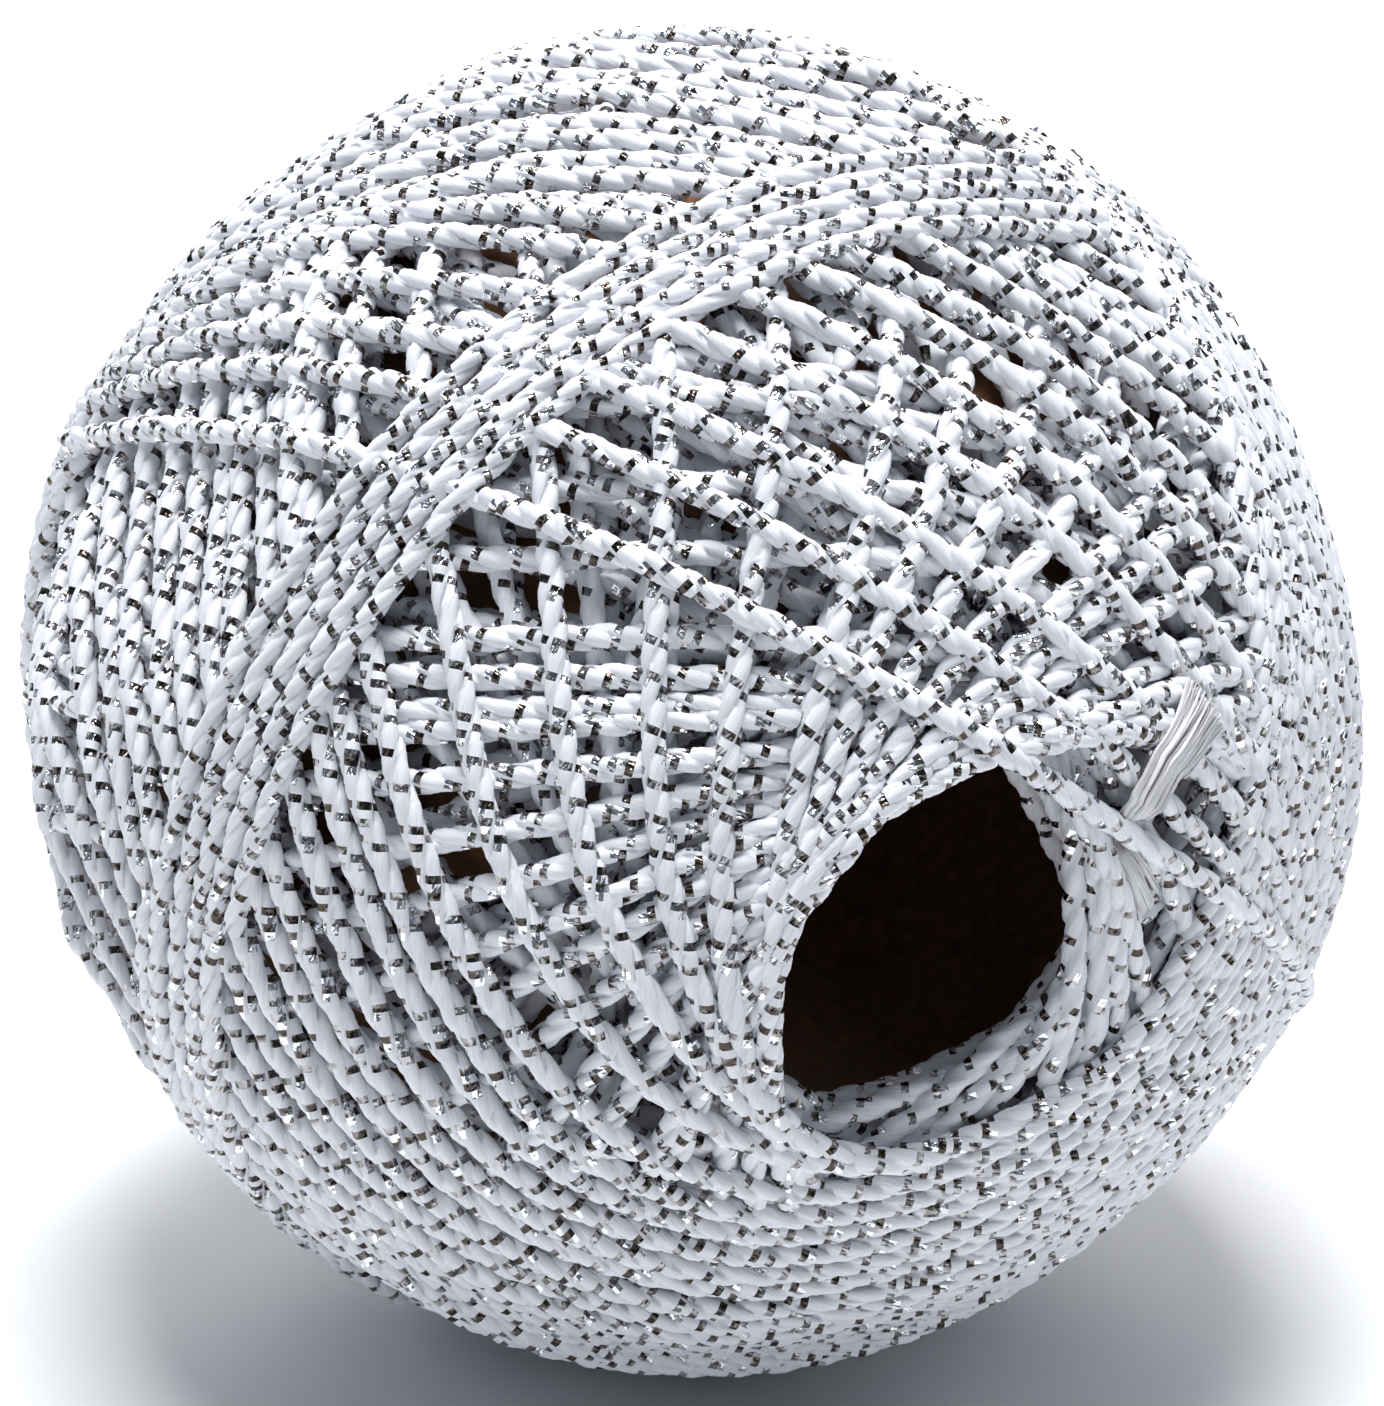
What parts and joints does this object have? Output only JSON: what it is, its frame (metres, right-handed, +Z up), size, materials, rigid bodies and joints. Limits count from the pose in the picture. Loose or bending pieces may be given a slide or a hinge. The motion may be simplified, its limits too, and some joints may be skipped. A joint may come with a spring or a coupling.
{
  "type": "ball of metallic cord",
  "caption": "Ball of white cord with silver foil, cross-wound in an open lattice on a hollow brown board core, with a flat waist band and a round hole at each end.",
  "frame": {"origin": "centre of the ball", "axes": "+Y along the core's axis from the front hole to the rear hole, +Z up with the ball lying on its side, +X to the right as seen from the front hole"},
  "size_m": [0.0787, 0.0742, 0.0769],
  "materials": {
    "board": "matt, smooth pressed board",
    "cord": "white yarn crossed by narrow silver foil"
  },
  "bodies": {
    "root": {"core_front_half": "board", "core_rear_half": "board", "inner_winding": "cord", "outer_winding": "cord", "waist_band": "cord", "closing_turn": "cord", "tucked_tail": "cord"}
  },
  "joints": []
}
